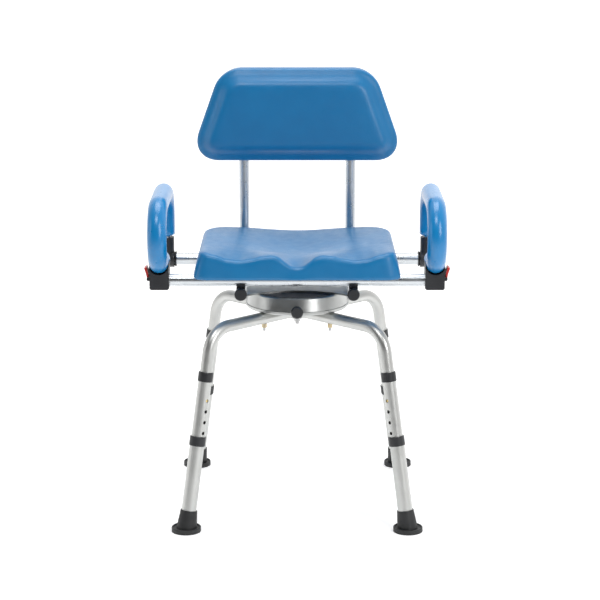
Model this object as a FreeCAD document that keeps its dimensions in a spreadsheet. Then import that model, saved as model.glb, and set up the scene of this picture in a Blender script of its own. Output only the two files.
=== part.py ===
"""Swivel bath chair: padded seat, back and flip-up loop arms on a telescopic four-leg base.

Millimetres. Origin on the floor under the swivel axis, +Z up, the chair faces -Y.
"""

import FreeCAD, Part
import math
import os
import re

import Sketcher

V = FreeCAD.Vector
SIDES = {"left": -1, "right": 1}
LEGS = {"front_left": 225, "front_right": 315, "rear_right": 45, "rear_left": 135}

doc = FreeCAD.newDocument("SwivelBathChair")
sheet = doc.addObject("Spreadsheet::Sheet", "Sizes")

DRIVING_SIZES = [
    ("foot_spread", 230, "foot centre from the axis, along X and along Y"),
    ("corner_spread", 176.3, "leg's virtual bend corner, along X and along Y"),
    ("run_height", 416.5, "centre height of the legs' level runs"),
    ("run_gap", 1.3, "how far each level run begins beyond the next run's side"),
    ("leg_bend", 57, "bend radius of the leg tubes"),
    ("leg_od", 25.4, "leg and cross tube outside diameter"),
    ("leg_wall", 1.2, "leg tube wall"),
    ("slide_gap", 0.1, "radial clearance between telescoping tubes"),
    ("upper_end", 259, "lower end of the upper tube, along the leg"),
    ("mid_low", 132, "lower end of the middle tube, along the leg"),
    ("mid_high", 335.3, "upper end of the middle tube, along the leg"),
    ("low_start", 8, "lower end of the bottom tube, along the leg"),
    ("low_high", 200.6, "upper end of the bottom tube, along the leg"),
    ("collar_height", 20, "height of the collars on the telescoping tubes"),
    ("collar_wall", 1.5, "thickness of those collars"),
    ("button_at", 276.5, "snap button, along the leg"),
    ("hole_pitch", 22.7, "pitch of the leg holes"),
    ("button_radius", 3.3, "snap button radius"),
    ("hole_radius", 3.6, "leg hole radius"),
    ("boot_radius", 30.5, "rubber foot flange radius"),
    ("boot_flange", 9.5, "rubber foot flange height"),
    ("boot_high", 44, "top of the rubber foot, along the leg"),
    ("pan_radius", 110, "base pan radius"),
    ("sheet_metal", 2, "pan, drum and plate thickness"),
    ("pan_rim", 7.3, "height of the pan's rim"),
    ("bolt_circle", 98, "leg bolts from the axis"),
    ("leg_bolt_radius", 2.8, "leg bolt shank radius"),
    ("ring_radius", 88, "index ring outer radius"),
    ("ring_bore", 30, "index ring bore radius"),
    ("ring_top", 453, "top of the index ring and its race"),
    ("pivot_radius", 4, "pivot bolt shank radius"),
    ("drum_rise", 0.5, "gap between the pan's rim and the drum"),
    ("drum_high", 465, "top of the drum"),
    ("drum_low_radius", 108, "drum radius at its lower edge"),
    ("drum_high_radius", 103, "drum radius at its top"),
    ("plate_low", 466, "underside of the seat plate"),
    ("plate_half_width", 128, "half width of the seat plate"),
    ("plate_half_depth", 112, "half depth of the seat plate"),
    ("plate_arc", 148.7, "radius of the plate's hollow edges"),
    ("plate_waist", 40, "half depth of the plate on the centre line"),
    ("rail_od", 22.2, "seat rail, upright and arm tube diameter"),
    ("rail_wall", 1.5, "wall of those tubes"),
    ("rail_x", 117, "seat rails from the centre line"),
    ("rail_z", 480.2, "centre height of the seat rails"),
    ("rail_front", -131, "front end of the seat rails"),
    ("upright_y", 190, "uprights behind the axis"),
    ("rail_bend", 45, "bend radius of the rails"),
    ("upright_top", 868, "top end of the uprights"),
    ("cross_y", 110, "cross tubes from the axis"),
    ("cross_z", 507, "centre height of the cross tubes"),
    ("front_half", 300, "half length of the front cross tube"),
    ("rear_half", 301, "half length of the rear cross tube"),
    ("seat_rise", 0.3, "gap between the cross tubes and the seat pad"),
    ("seat_high", 572, "top of the seat pad"),
    ("seat_width", 430, "seat pad width"),
    ("seat_front", -181, "front of the seat pad"),
    ("seat_rear", 174, "rear of the seat pad"),
    ("back_width", 440, "back pad width"),
    ("back_low", 713, "lower edge of the back pad"),
    ("back_high", 916, "upper edge of the back pad"),
    ("back_front", 152, "front face of the back pad"),
    ("back_rear", 215, "rear face of the back pad"),
    ("arm_x", 286.5, "arms from the centre line"),
    ("arm_rise", 2.3, "gap between the cross tube and the lowered sleeve"),
    ("arm_loop", 60.5, "radius of the arm's front loop"),
    ("arm_front", -106, "centre of the arm's front loop"),
    ("arm_end", -66, "end of the arm's lower run"),
    ("arm_bend", 60, "rear bend radius of the arm"),
    ("sleeve_od", 40, "arm sleeve diameter"),
    ("sleeve_start", 560, "lower end of the sleeve's rear leg"),
    ("block_depth", 36, "arm pivot block across the arm"),
    ("block_radius", 18, "arm pivot block radius about its pivot"),
    ("bracket_depth", 44, "arm rest bracket, front to back"),
    ("bracket_low", 490, "underside of the arm rest bracket"),
    ("latch_x", 308.8, "latch hinge from the centre line"),
    ("latch_z", 512, "height of the latch hinge"),
    ("latch_width", 24, "latch lever, front to back"),
    ("lock_rise", 13, "lock plunger above the level runs"),
    ("lock_pin_radius", 2.4, "lock plunger radius"),
    ("lock_tip", 89, "inner end of the lock plunger"),
    ("knob_radius", 12.7, "lock knob radius"),
    ("knob_face", 136, "outer face of the lock knob"),
]

for row, (alias, value, meaning) in enumerate(DRIVING_SIZES, start=1):
    sheet.set(f"A{row}", meaning)
    sheet.set(f"B{row}", str(value))
    sheet.setAlias(f"B{row}", alias)
doc.recompute()
ALIASES = {alias for alias, _, _ in DRIVING_SIZES}


def bound(expression):
    """The expression with every alias pointing at the sheet."""
    return re.sub(
        r"[a-z_]+[a-z]",
        lambda word: f"Sizes.{word[0]}" if word[0] in ALIASES else word[0],
        str(expression),
    )


def value(expression):
    return float(sheet.evalExpression(bound(expression)))


def new_body(label):
    body = doc.addObject("PartDesign::Body", label)
    body.Label = label
    return body


def new_sketch(body, plane, rise="0"):
    """A sketch on one of the body's own origin planes, raised along its normal."""
    sketch = body.newObject("Sketcher::SketchObject", f"{body.Label}_sketch")
    support = [part for part in body.Origin.OriginFeatures if part.Role == f"{plane}_Plane"]
    sketch.AttachmentSupport = [(support[0], "")]
    sketch.MapMode = "FlatFace"
    if rise != "0":
        sketch.setExpression("AttachmentOffset.Base.z", bound(rise))
    return sketch


def constrain(sketch, kind, *where, to=None):
    """A constraint, driven by an expression where it has a size."""
    if to is None:
        return sketch.addConstraint(Sketcher.Constraint(kind, *where))
    index = sketch.addConstraint(Sketcher.Constraint(kind, *where, value(to)))
    sketch.setExpression(f"Constraints[{index}]", bound(to))
    return index


def pin_point(sketch, element, end, x, y):
    """Hold a point at (x, y), both expressions."""
    if str(x) == "0":
        constrain(sketch, "PointOnObject", element, end, -2)
    else:
        constrain(sketch, "DistanceX", -1, 1, element, end, to=x)
    if str(y) == "0":
        constrain(sketch, "PointOnObject", element, end, -1)
    else:
        constrain(sketch, "DistanceY", -1, 1, element, end, to=y)


def draw_circle(sketch, radius, x="0", y="0"):
    centre = V(value(x), value(y), 0)
    ring = sketch.addGeometry(Part.Circle(centre, V(0, 0, 1), value(radius)))
    constrain(sketch, "Radius", ring, to=radius)
    pin_point(sketch, ring, 3, x, y)
    return ring


def draw_outline(sketch, points):
    """A closed outline through the given corners, each corner held by expressions."""
    ends = [V(value(x), value(y), 0) for x, y in points]
    count = len(ends)
    lines = [
        sketch.addGeometry(Part.LineSegment(ends[i], ends[(i + 1) % count]))
        for i in range(count)
    ]
    for i, line in enumerate(lines):
        constrain(sketch, "Coincident", line, 2, lines[(i + 1) % count], 1)
    for line, (x, y) in zip(lines, points):
        pin_point(sketch, line, 1, x, y)


def draw_box(sketch, left, right, low, high):
    draw_outline(sketch, [(left, low), (right, low), (right, high), (left, high)])


def draw_route(sketch, points, radii):
    """A path of straight runs joined by tangent arcs, given its corners and bend radii."""
    ends = [V(value(x), value(y), 0) for x, y in points]
    bends = []
    for before, corner, after, radius in zip(ends, ends[1:], ends[2:], radii):
        back = (before - corner).normalize()
        ahead = (after - corner).normalize()
        half = back.getAngle(ahead) / 2
        reach = value(radius) / math.tan(half)
        first = corner + back * reach
        last = corner + ahead * reach
        centre = corner + (back + ahead).normalize() * (value(radius) / math.sin(half))
        middle = centre + (corner - centre).normalize() * value(radius)
        bends.append((first, middle, last))
    starts = [ends[0]] + [bend[2] for bend in bends]
    stops = [bend[0] for bend in bends] + [ends[-1]]
    runs = [sketch.addGeometry(Part.LineSegment(a, b)) for a, b in zip(starts, stops)]
    pin_point(sketch, runs[0], 1, *points[0])
    pin_point(sketch, runs[-1], 2, *points[-1])
    for i, (first, middle, last) in enumerate(bends):
        arc = sketch.addGeometry(Part.Arc(first, middle, last))
        corner = sketch.addGeometry(Part.Point(ends[i + 1]), True)
        pin_point(sketch, corner, 1, *points[i + 1])
        constrain(sketch, "PointOnObject", corner, 1, runs[i])
        constrain(sketch, "PointOnObject", corner, 1, runs[i + 1])
        turn = (middle - first).cross(last - middle).z
        near, far = (1, 2) if turn > 0 else (2, 1)
        constrain(sketch, "Tangent", runs[i], 2, arc, near)
        constrain(sketch, "Tangent", arc, far, runs[i + 1], 1)
        constrain(sketch, "Radius", arc, to=radii[i])


def pad(body, sketch, length, symmetric=False, backwards=False):
    feature = body.newObject("PartDesign::Pad", f"{body.Label}_pad")
    feature.Profile = sketch
    feature.setExpression("Length", bound(length))
    feature.SideType = "Symmetric" if symmetric else "One side"
    feature.Reversed = backwards
    return feature


def pocket(body, sketch, length, symmetric=False, backwards=False):
    """Cut a sketch out of the body, and make sure that it removed something."""
    doc.recompute()
    before = body.Shape.Volume
    feature = body.newObject("PartDesign::Pocket", f"{body.Label}_pocket")
    feature.Profile = sketch
    feature.setExpression("Length", bound(length))
    feature.SideType = "Symmetric" if symmetric else "One side"
    feature.Reversed = backwards
    doc.recompute()
    if body.Shape.Volume > before - 0.01:
        raise RuntimeError(f"a pocket in {body.Label} cuts nothing")
    return feature


def revolve(body, sketch, axis="V_Axis"):
    feature = body.newObject("PartDesign::Revolution", f"{body.Label}_turn")
    feature.Profile = sketch
    feature.ReferenceAxis = (sketch, [axis])
    feature.Angle = 360
    return feature


def sweep(body, profile, spine):
    feature = body.newObject("PartDesign::AdditivePipe", f"{body.Label}_pipe")
    feature.Profile = profile
    feature.Spine = (spine, [])
    return feature


def polar(body, feature, count):
    """Repeat a feature about the body's Z axis."""
    sketch = feature.Profile[0]
    pattern = body.newObject("PartDesign::PolarPattern", f"{body.Label}_polar")
    pattern.Originals = [feature]
    pattern.Axis = (sketch, ["N_Axis"])
    pattern.Angle = 360
    pattern.Occurrences = count
    body.Tip = pattern
    return pattern


def mirror(body, features, plane):
    """Repeat features on the other side of one of the body's origin planes."""
    side = [part for part in body.Origin.OriginFeatures if part.Role == f"{plane}_Plane"]
    pattern = body.newObject("PartDesign::Mirrored", f"{body.Label}_mirror")
    pattern.Originals = features
    pattern.MirrorPlane = (side[0], [""])
    body.Tip = pattern
    return pattern


def round_edges(body, radius, chosen):
    """Fillet the edges of the body that the test picks."""
    doc.recompute()
    tip = body.Tip
    names = [
        f"Edge{i}" for i, edge in enumerate(tip.Shape.Edges, start=1) if chosen(edge)
    ]
    feature = body.newObject("PartDesign::Fillet", f"{body.Label}_round")
    feature.Base = (tip, names)
    feature.Radius = value(radius)
    doc.recompute()
    return feature


def turned(label, points, axis="V_Axis", plane="XZ"):
    """A body of revolution from its half section."""
    body = new_body(label)
    sketch = new_sketch(body, plane)
    draw_outline(sketch, points)
    revolve(body, sketch, axis)
    return body


def lengthwise(label, outer, inner, low, high):
    """A round tube along the body's own Z axis."""
    body = new_body(label)
    sketch = new_sketch(body, "XY", low)
    draw_circle(sketch, outer)
    if inner:
        draw_circle(sketch, inner)
    pad(body, sketch, f"({high}) - ({low})")
    return body


# ---- frames of reference --------------------------------------------------

ROOT_TWO = "1.41421356237"
CORNER = f"corner_spread * {ROOT_TWO}"
FOOT = f"foot_spread * {ROOT_TWO}"
LEAN = math.degrees(math.atan2(value(f"{FOOT} - {CORNER}"), value("run_height")))


def around(angle):
    """A leg's frame: local X runs outwards from the swivel axis."""
    return FreeCAD.Placement(V(0, 0, 0), FreeCAD.Rotation(V(0, 0, 1), angle))


def along_leg(angle):
    """Local Z runs up the leg from the centre of the foot."""
    lean = FreeCAD.Placement(V(value(FOOT), 0, 0), FreeCAD.Rotation(V(0, 1, 0), -LEAN))
    return around(angle).multiply(lean)


def button_side(angle):
    """Which side of the leg the snap button faces."""
    return 1 if angle in (225, 45) else -1


# ---- legs -----------------------------------------------------------------

LEG_R = "leg_od / 2"
RUN_START = "(leg_od / 2 + run_gap)"
MID_IN = "leg_od / 2 + slide_gap"
MID_OUT = "leg_od / 2 + slide_gap + leg_wall"
LOW_IN = "leg_od / 2 + 2 * slide_gap + leg_wall"
LOW_OUT = "leg_od / 2 + 2 * slide_gap + 2 * leg_wall"
DROP = f"(({FOOT}) - ({CORNER})) / run_height"
END_Z = "upper_end * cos({0:.6f} deg)".format(LEAN)
END_X = f"({FOOT}) - ({DROP}) * ({END_Z})"


def make_leg_tube(name, angle):
    """The bent upper tube: level run, bend, then down along the leg."""
    body = new_body(f"leg_tube_{name}")
    spine = new_sketch(body, "XZ")
    corners = [(RUN_START, "run_height"), (CORNER, "run_height"), (END_X, END_Z)]
    draw_route(spine, corners, ["leg_bend"])
    section = new_sketch(body, "YZ", RUN_START)
    draw_circle(section, LEG_R, "0", "run_height")
    draw_circle(section, f"{LEG_R} - leg_wall", "0", "run_height")
    sweep(body, section, spine)
    bolt_hole = new_sketch(body, "XY", "run_height + leg_od")
    draw_circle(bolt_hole, "leg_bolt_radius + 0.1", "bolt_circle", "0")
    pocket(body, bolt_hole, "2 * leg_od")
    hole = new_sketch(body, "XZ")
    rise = f"(button_at * cos({LEAN:.6f} deg))"
    draw_circle(hole, "hole_radius", f"({FOOT}) - ({DROP}) * {rise}", rise)
    pocket(body, hole, "leg_od", backwards=button_side(angle) < 0)
    body.Placement = around(angle)


def make_leg_button(name, angle):
    """A domed snap button in the wall of the upper tube, resting pressed in."""
    side = button_side(angle)
    head = f"({MID_IN}) - 0.15"
    body = new_body(f"leg_button_{name}")
    profile = new_sketch(body, "XY", "button_at")
    points = [
        ("0", f"{side} * 8"),
        ("button_radius", f"{side} * 8"),
        ("button_radius", f"{side} * ({head} - 1.2)"),
        ("button_radius - 0.9", f"{side} * ({head} - 0.25)"),
        ("button_radius - 2.1", f"{side} * ({head})"),
        ("0", f"{side} * ({head})"),
    ]
    draw_outline(profile, points)
    revolve(body, profile)
    body.Placement = along_leg(angle)


def make_mid_tube(name, angle):
    """The middle tube with its row of button holes."""
    body = lengthwise(f"mid_tube_{name}", MID_OUT, MID_IN, "mid_low", "mid_high")
    holes = new_sketch(body, "XZ")
    for step in range(4):
        draw_circle(holes, "hole_radius", "0", f"button_at - {step} * hole_pitch")
    pocket(body, holes, "leg_od", backwards=button_side(angle) < 0)
    body.Placement = along_leg(angle)


def make_collar(label, inner, top, angle):
    """A collar pressed round the top of a telescoping tube, with eased edges."""
    outer = f"{inner} + collar_wall"
    points = [
        (inner, f"{top} - collar_height"),
        (f"{outer} - 0.5", f"{top} - collar_height"),
        (outer, f"{top} - collar_height + 0.8"),
        (outer, f"{top} - 1.5"),
        (f"{outer} - 0.7", f"{top}"),
        (inner, f"{top}"),
    ]
    turned(label, points).Placement = along_leg(angle)


def make_boot(name, angle):
    """A rubber foot: level flange on the floor and a sleeve leaning with the leg."""
    foot = value(FOOT)
    flange = doc.addObject("Part::Cylinder", f"boot_flange_{name}")
    flange.setExpression("Radius", "Sizes.boot_radius")
    flange.setExpression("Height", "Sizes.boot_flange")
    flange.Placement = around(angle).multiply(FreeCAD.Placement(V(foot, 0, 0), V(0, 0, 1), 0))
    eased = doc.addObject("Part::Fillet", f"boot_eased_{name}")
    eased.Base = flange
    eased.Edges = [(1, 2.5, 2.5), (3, 1.5, 1.5)]
    trough = doc.addObject("Part::Cylinder", f"boot_trough_{name}")
    trough.setExpression("Radius", "Sizes.boot_radius - 3")
    trough.Height = 5
    trough.Placement = around(angle).multiply(
        FreeCAD.Placement(V(foot, 0, value("boot_flange") - 1.8), V(0, 0, 1), 0)
    )
    dished = doc.addObject("Part::Cut", f"boot_dished_{name}")
    dished.Base = eased
    dished.Tool = trough
    sleeve = doc.addObject("Part::Cone", f"boot_sleeve_{name}")
    sleeve.Radius1 = 21.5
    sleeve.setExpression("Radius2", bound(f"{LOW_OUT} + 2"))
    sleeve.setExpression("Height", "Sizes.boot_high - 4.5")
    up = FreeCAD.Placement(V(0, 0, 4.5), V(0, 0, 1), 0)
    sleeve.Placement = along_leg(angle).multiply(up)
    solid = doc.addObject("Part::Fuse", f"boot_solid_{name}")
    solid.Base = dished
    solid.Tool = sleeve
    socket = doc.addObject("Part::Cylinder", f"boot_socket_{name}")
    socket.setExpression("Radius", bound(LOW_OUT))
    socket.Height = 80
    rise = FreeCAD.Placement(V(0, 0, value("low_start")), V(0, 0, 1), 0)
    socket.Placement = along_leg(angle).multiply(rise)
    boot = doc.addObject("Part::Cut", f"boot_{name}")
    boot.Base = solid
    boot.Tool = socket
    boot.Label = f"boot_{name}"


def make_leg(name, angle):
    make_leg_tube(name, angle)
    make_leg_button(name, angle)
    make_mid_tube(name, angle)
    make_collar(f"mid_collar_{name}", MID_OUT, "mid_high", angle)
    low = lengthwise(f"lower_tube_{name}", LOW_OUT, LOW_IN, "low_start", "low_high")
    low.Placement = along_leg(angle)
    make_collar(f"lower_collar_{name}", LOW_OUT, "low_high", angle)
    make_boot(name, angle)


# ---- swivel base ----------------------------------------------------------

RUN_TOP = "(run_height + leg_od / 2)"
RUN_LOW = "(run_height - leg_od / 2)"
DRUM_LOW = f"({RUN_TOP} + pan_rim + drum_rise)"
SEAT_LOW = "(cross_z + leg_od / 2 + seat_rise)"
BOLT_OFFSET = "(bolt_circle * sqrt(0.5))"
LOCK_Z = f"({RUN_TOP} + lock_rise)"


def make_base_pan():
    """A shallow round dish that lies on the four level runs."""
    pan_top = f"{RUN_TOP} + sheet_metal"
    points = [
        ("pivot_radius + 0.1", RUN_TOP),
        ("pan_radius - 3", RUN_TOP),
        ("pan_radius", f"{RUN_TOP} + 3"),
        ("pan_radius", f"{RUN_TOP} + pan_rim"),
        ("pan_radius - sheet_metal", f"{RUN_TOP} + pan_rim"),
        ("pan_radius - sheet_metal", f"{RUN_TOP} + 4"),
        ("pan_radius - 4", pan_top),
        ("pivot_radius + 0.1", pan_top),
    ]
    body = turned("base_pan", points)
    hole = new_sketch(body, "XY", "run_height + 2 * leg_od")
    draw_circle(hole, "leg_bolt_radius + 0.1", BOLT_OFFSET, BOLT_OFFSET)
    cut = pocket(body, hole, "2 * leg_od")
    polar(body, cut, 4)


def make_index_ring():
    """The notched ring that the lock plunger drops into, with the bearing race on it."""
    low = f"{RUN_TOP} + sheet_metal"
    points = [
        ("ring_bore", low),
        ("ring_radius", low),
        ("ring_radius", "ring_top - 7"),
        ("ring_radius - 28", "ring_top - 7"),
        ("ring_radius - 28", "ring_top"),
        ("ring_bore", "ring_top"),
    ]
    body = turned("index_ring", points)
    for plane in ("XZ", "YZ"):
        notches = new_sketch(body, plane)
        draw_circle(notches, "lock_pin_radius + 1", "0", LOCK_Z)
        pocket(body, notches, "2 * ring_radius", symmetric=True)


def make_leg_bolts():
    """One hex-headed bolt through the pan and each level run."""
    body = new_body("leg_bolts")
    head_low = f"{RUN_TOP} + sheet_metal"
    head = new_sketch(body, "XY", head_low)
    draw_circle(head, "leg_bolt_radius + 2.2", BOLT_OFFSET, BOLT_OFFSET)
    heads = pad(body, head, "4.4")
    shank = new_sketch(body, "XY", head_low)
    draw_circle(shank, "leg_bolt_radius", BOLT_OFFSET, BOLT_OFFSET)
    shanks = pad(body, shank, "leg_od + sheet_metal + 15", backwards=True)
    doc.recompute()
    polar(body, heads, 4).Originals = [heads, shanks]


def draw_hexagon(sketch, across, x, y):
    reach = f"({across}) / 1.7320508"
    step = [("1", "0"), ("0.5", "0.8660254"), ("-0.5", "0.8660254")]
    step += [("-1", "0"), ("-0.5", "-0.8660254"), ("0.5", "-0.8660254")]
    draw_outline(
        sketch, [(f"{x} + ({a}) * {reach}", f"{y} + ({b}) * {reach}") for a, b in step]
    )


def make_leg_nuts():
    """The locking nuts of the leg bolts, under the level runs."""
    body = new_body("leg_nuts")
    sketch = new_sketch(body, "XY", f"{RUN_LOW} - 8")
    draw_hexagon(sketch, "9.6", BOLT_OFFSET, BOLT_OFFSET)
    draw_circle(sketch, "leg_bolt_radius", BOLT_OFFSET, BOLT_OFFSET)
    nuts = pad(body, sketch, "8")
    doc.recompute()
    polar(body, nuts, 4)


def make_pivot_bolt():
    """The bolt that holds the seat down on the base and lets it turn."""
    points = [
        ("0", f"{RUN_LOW} - 16"),
        ("pivot_radius", f"{RUN_LOW} - 16"),
        ("pivot_radius", "ring_top - 1.7"),
        ("pivot_radius + 4.5", "ring_top - 1.7"),
        ("pivot_radius + 4.5", "ring_top + 4.5"),
        ("0", "ring_top + 4.5"),
    ]
    turned("pivot_bolt", points)


def make_pivot_nut():
    """A broad washer under the runs with the pivot nut below it."""
    body = turned(
        "pivot_nut",
        [
            ("pivot_radius", f"{RUN_LOW} - 2"),
            ("17.5", f"{RUN_LOW} - 2"),
            ("17.5", RUN_LOW),
            ("pivot_radius", RUN_LOW),
        ],
    )
    nut = new_sketch(body, "XY", f"{RUN_LOW} - 2")
    draw_hexagon(nut, "12", "0", "0")
    draw_circle(nut, "pivot_radius")
    pad(body, nut, "8.5", backwards=True)


def make_swivel_drum():
    """The turning drum: a tapered wall and a flat top, with a boss for the lock plunger."""
    taper = f"(drum_low_radius - drum_high_radius) / (drum_high - {DRUM_LOW})"
    under = "drum_high - sheet_metal"
    points = [
        ("8", "drum_high"),
        ("drum_high_radius - 2", "drum_high"),
        ("drum_high_radius", "drum_high - 2"),
        ("drum_low_radius", DRUM_LOW),
        ("drum_low_radius - sheet_metal", DRUM_LOW),
        (f"drum_high_radius - sheet_metal + {taper} * sheet_metal", under),
        ("8", under),
    ]
    body = turned("swivel_drum", points)
    boss = new_sketch(body, "XZ", "drum_high_radius - 9")
    draw_circle(boss, "lock_pin_radius + 2.4", "0", LOCK_Z)
    pad(body, boss, "19")
    bore = new_sketch(body, "XZ", "drum_high_radius - 20")
    draw_circle(bore, "lock_pin_radius + 0.06", "0", LOCK_Z)
    pocket(body, bore, "60", backwards=True)


def make_swivel_hub():
    """The bearing race and centre flange fixed under the drum's top."""
    top = "drum_high - sheet_metal"
    points = [
        ("pivot_radius + 0.1", "ring_top - 6"),
        ("ring_bore - 4", "ring_top - 6"),
        ("ring_bore - 4", "ring_top + 0.2"),
        ("ring_radius - 28", "ring_top + 0.2"),
        ("ring_radius - 28", top),
        ("14", top),
        ("14", "ring_top - 2"),
        ("pivot_radius + 0.1", "ring_top - 2"),
    ]
    turned("swivel_hub", points)


def make_drum_cover():
    """The dark disc between the drum and the seat plate."""
    lengthwise("drum_cover", "drum_high_radius - 3", "8", "drum_high", "plate_low")


def make_mount_plate():
    """The seat plate between the rails, with a hollow front and rear edge."""
    body = new_body("mount_plate")
    outline = new_sketch(body, "XY", "plate_low")
    draw_box(
        outline, "-plate_half_width", "plate_half_width", "-plate_half_depth", "plate_half_depth"
    )
    pad(body, outline, "rail_z - rail_od / 2 - plate_low")
    hollows = new_sketch(body, "XY", "rail_z")
    draw_circle(hollows, "plate_arc", "0", "-plate_waist - plate_arc")
    draw_circle(hollows, "plate_arc", "0", "plate_waist + plate_arc")
    pocket(body, hollows, "20")


def make_leg_base():
    make_base_pan()
    make_index_ring()
    make_leg_bolts()
    make_leg_nuts()
    make_pivot_bolt()
    make_pivot_nut()


# ---- seat frame -----------------------------------------------------------


def make_seat_rail(name, side):
    """A rail under the seat that bends up into an upright of the back."""
    body = new_body(f"seat_rail_{name}")
    spine = new_sketch(body, "YZ")
    corners = [("rail_front", "rail_z"), ("upright_y", "rail_z"), ("upright_y", "upright_top")]
    draw_route(spine, corners, ["rail_bend"])
    section = new_sketch(body, "XZ", "-rail_front")
    draw_circle(section, "rail_od / 2", "0", "rail_z")
    draw_circle(section, "rail_od / 2 - rail_wall", "0", "rail_z")
    sweep(body, section, spine)
    holes = new_sketch(body, "XY", "rail_z + rail_od")
    for y_side in ("", "-"):
        draw_circle(holes, "3.1", "0", f"{y_side}cross_y")
    pocket(body, holes, "2 * rail_od")
    body.setExpression("Placement.Base.x", bound(f"{side} * rail_x"))


def make_rail_caps():
    """Plastic caps over the front ends of both rails."""
    body = new_body("rail_caps")
    outer = new_sketch(body, "XZ", "-rail_front - 6")
    draw_circle(outer, "rail_od / 2 + 1.8", "rail_x", "rail_z")
    shell = pad(body, outer, "11")
    inner = new_sketch(body, "XZ", "-rail_front - 8")
    draw_circle(inner, "rail_od / 2", "rail_x", "rail_z")
    hole = pocket(body, inner, "8", backwards=True)
    plane = "YZ"
    round_edges(body, "2.5", lambda e: e.BoundBox.YMax < value("rail_front") - 4.9)
    twin = mirror(body, [shell, hole], plane)
    rounded = [feature for feature in body.Group if "round" in feature.Name]
    twin.Originals = [shell, hole] + rounded


def make_cross_tube(label, y, half, drilled):
    """A straight cross tube, drilled underneath for the saddle bolts."""
    body = new_body(label)
    section = new_sketch(body, "YZ")
    draw_circle(section, "leg_od / 2", y, "cross_z")
    draw_circle(section, "leg_od / 2 - leg_wall", y, "cross_z")
    pad(body, section, f"2 * {half}", symmetric=True)
    holes = new_sketch(body, "XY", "cross_z")
    for side in ("", "-"):
        draw_circle(holes, "3.1", f"{side}({drilled})", y)
    pocket(body, holes, "leg_od")


SADDLE_BOLT = "rail_x"


def make_saddle(x_side, y_side):
    """A moulded saddle between a rail and the cross tube that lies over it."""
    tag = f"{'r' if x_side > 0 else 'l'}{'b' if y_side > 0 else 'f'}"
    block = doc.addObject("Part::Box", f"saddle_block_{tag}")
    block.Length = 18
    block.Width = 22
    block.setExpression("Height", bound("cross_z - rail_z - 7"))
    block.setExpression("Placement.Base.x", bound(f"{x_side} * rail_x - 9"))
    block.setExpression("Placement.Base.y", bound(f"{y_side} * cross_y - 11"))
    block.setExpression("Placement.Base.z", bound("rail_z + 1"))
    across = doc.addObject("Part::Cylinder", f"saddle_across_{tag}")
    across.setExpression("Radius", bound("leg_od / 2"))
    across.setExpression("Height", bound("2 * front_half"))
    across.setExpression("Placement.Base.x", bound("-front_half"))
    across.setExpression("Placement.Base.y", bound(f"{y_side} * cross_y"))
    across.setExpression("Placement.Base.z", bound("cross_z"))
    across.Placement.Rotation = FreeCAD.Rotation(V(0, 1, 0), 90)
    rail = doc.addObject("Part::Cylinder", f"saddle_rail_{tag}")
    rail.setExpression("Radius", bound("rail_od / 2"))
    rail.setExpression("Height", bound("4 * cross_y"))
    rail.setExpression("Placement.Base.x", bound(f"{x_side} * rail_x"))
    rail.setExpression("Placement.Base.y", bound("2 * cross_y"))
    rail.setExpression("Placement.Base.z", bound("rail_z"))
    rail.Placement.Rotation = FreeCAD.Rotation(V(1, 0, 0), 90)
    bolt = doc.addObject("Part::Cylinder", f"saddle_hole_{tag}")
    bolt.Radius = 3.1
    bolt.Height = 60
    bolt.setExpression("Placement.Base.x", bound(f"{x_side} * ({SADDLE_BOLT})"))
    bolt.setExpression("Placement.Base.y", bound(f"{y_side} * cross_y"))
    bolt.setExpression("Placement.Base.z", bound("rail_z - 30"))
    tools = doc.addObject("Part::MultiFuse", f"saddle_tools_{tag}")
    tools.Shapes = [across, rail, bolt]
    cut = doc.addObject("Part::Cut", f"saddle_cut_{tag}")
    cut.Base = block
    cut.Tool = tools
    return cut


def make_tube_saddles():
    saddles = doc.addObject("Part::Compound", "tube_saddles")
    saddles.Links = [make_saddle(x, y) for x in (-1, 1) for y in (-1, 1)]
    saddles.Label = "tube_saddles"


def make_saddle_bolts():
    """Small bolts that pull each saddle up against its cross tube."""
    body = new_body("saddle_bolts")
    for low, high, radius in (
        ("rail_z - rail_od / 2 - 3.5", "rail_z - rail_od / 2", "5"),
        ("rail_z - rail_od / 2 - 3.5", "cross_z - 4", "3"),
    ):
        sketch = new_sketch(body, "XY", low)
        for x_side in ("", "-"):
            for y_side in ("", "-"):
                draw_circle(sketch, radius, f"{x_side}({SADDLE_BOLT})", f"{y_side}cross_y")
        pad(body, sketch, f"({high}) - ({low})")


def draw_rounded(sketch, half, low, high, radius):
    """A closed rectangle with round corners, symmetric about the vertical axis."""
    x, y0, y1, r = value(half), value(low), value(high), value(radius)
    arcs = [
        (V(x - r, y0 + r, 0), 270),
        (V(x - r, y1 - r, 0), 0),
        (V(-x + r, y1 - r, 0), 90),
        (V(-x + r, y0 + r, 0), 180),
    ]
    places = [
        (f"{half} - ({radius})", f"{low} + {radius}"),
        (f"{half} - ({radius})", f"{high} - {radius}"),
        (f"{radius} - ({half})", f"{high} - {radius}"),
        (f"{radius} - ({half})", f"{low} + {radius}"),
    ]
    rounds = []
    for centre, start in arcs:
        circle = Part.Circle(centre, V(0, 0, 1), r)
        first = math.radians(start)
        rounds.append(sketch.addGeometry(Part.ArcOfCircle(circle, first, first + math.pi / 2)))
    for i in range(4):
        a = sketch.getPoint(rounds[i], 2)
        b = sketch.getPoint(rounds[(i + 1) % 4], 1)
        line = sketch.addGeometry(Part.LineSegment(a, b))
        constrain(sketch, "Tangent", rounds[i], 2, line, 1)
        constrain(sketch, "Tangent", line, 2, rounds[(i + 1) % 4], 1)
    constrain(sketch, "Radius", rounds[0], to=radius)
    for other in rounds[1:]:
        constrain(sketch, "Equal", rounds[0], other)
    pin_point(sketch, rounds[0], 3, *places[0])
    pin_point(sketch, rounds[2], 3, *places[2])


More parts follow.
